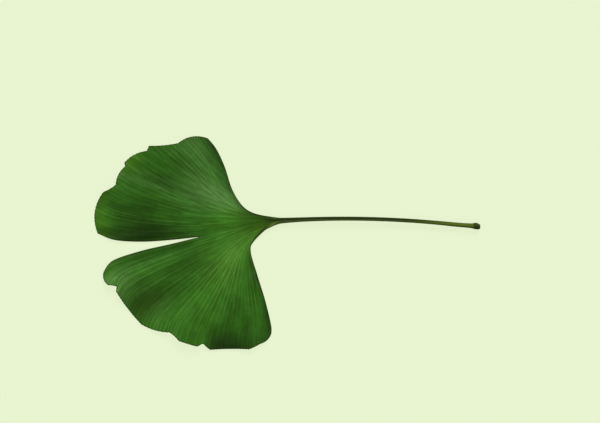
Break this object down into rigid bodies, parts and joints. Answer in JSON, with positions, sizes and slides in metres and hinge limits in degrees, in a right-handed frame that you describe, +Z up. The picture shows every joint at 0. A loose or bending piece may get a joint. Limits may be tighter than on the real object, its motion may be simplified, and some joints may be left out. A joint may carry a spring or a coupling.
{
  "type": "ginkgo leaf",
  "caption": "Picked ginkgo leaf: a thin fan-shaped blade with a deep cleft, a scalloped rim and shallow radial pleats, on a long slender stalk, lying flat.",
  "frame": {"origin": "the middle of the leaf's footprint, on the surface that it lies on", "axes": "+X along the stalk, from the blade to the stalk's foot; +Y towards the longer lobe; +Z up, out of the leaf's upper face"},
  "size_m": [0.1348, 0.0746, 0.0025],
  "materials": {
    "leaf_tissue": "waxy satin"
  },
  "bodies": {
    "root": {"ginkgo_leaf": "leaf_tissue"}
  },
  "joints": []
}
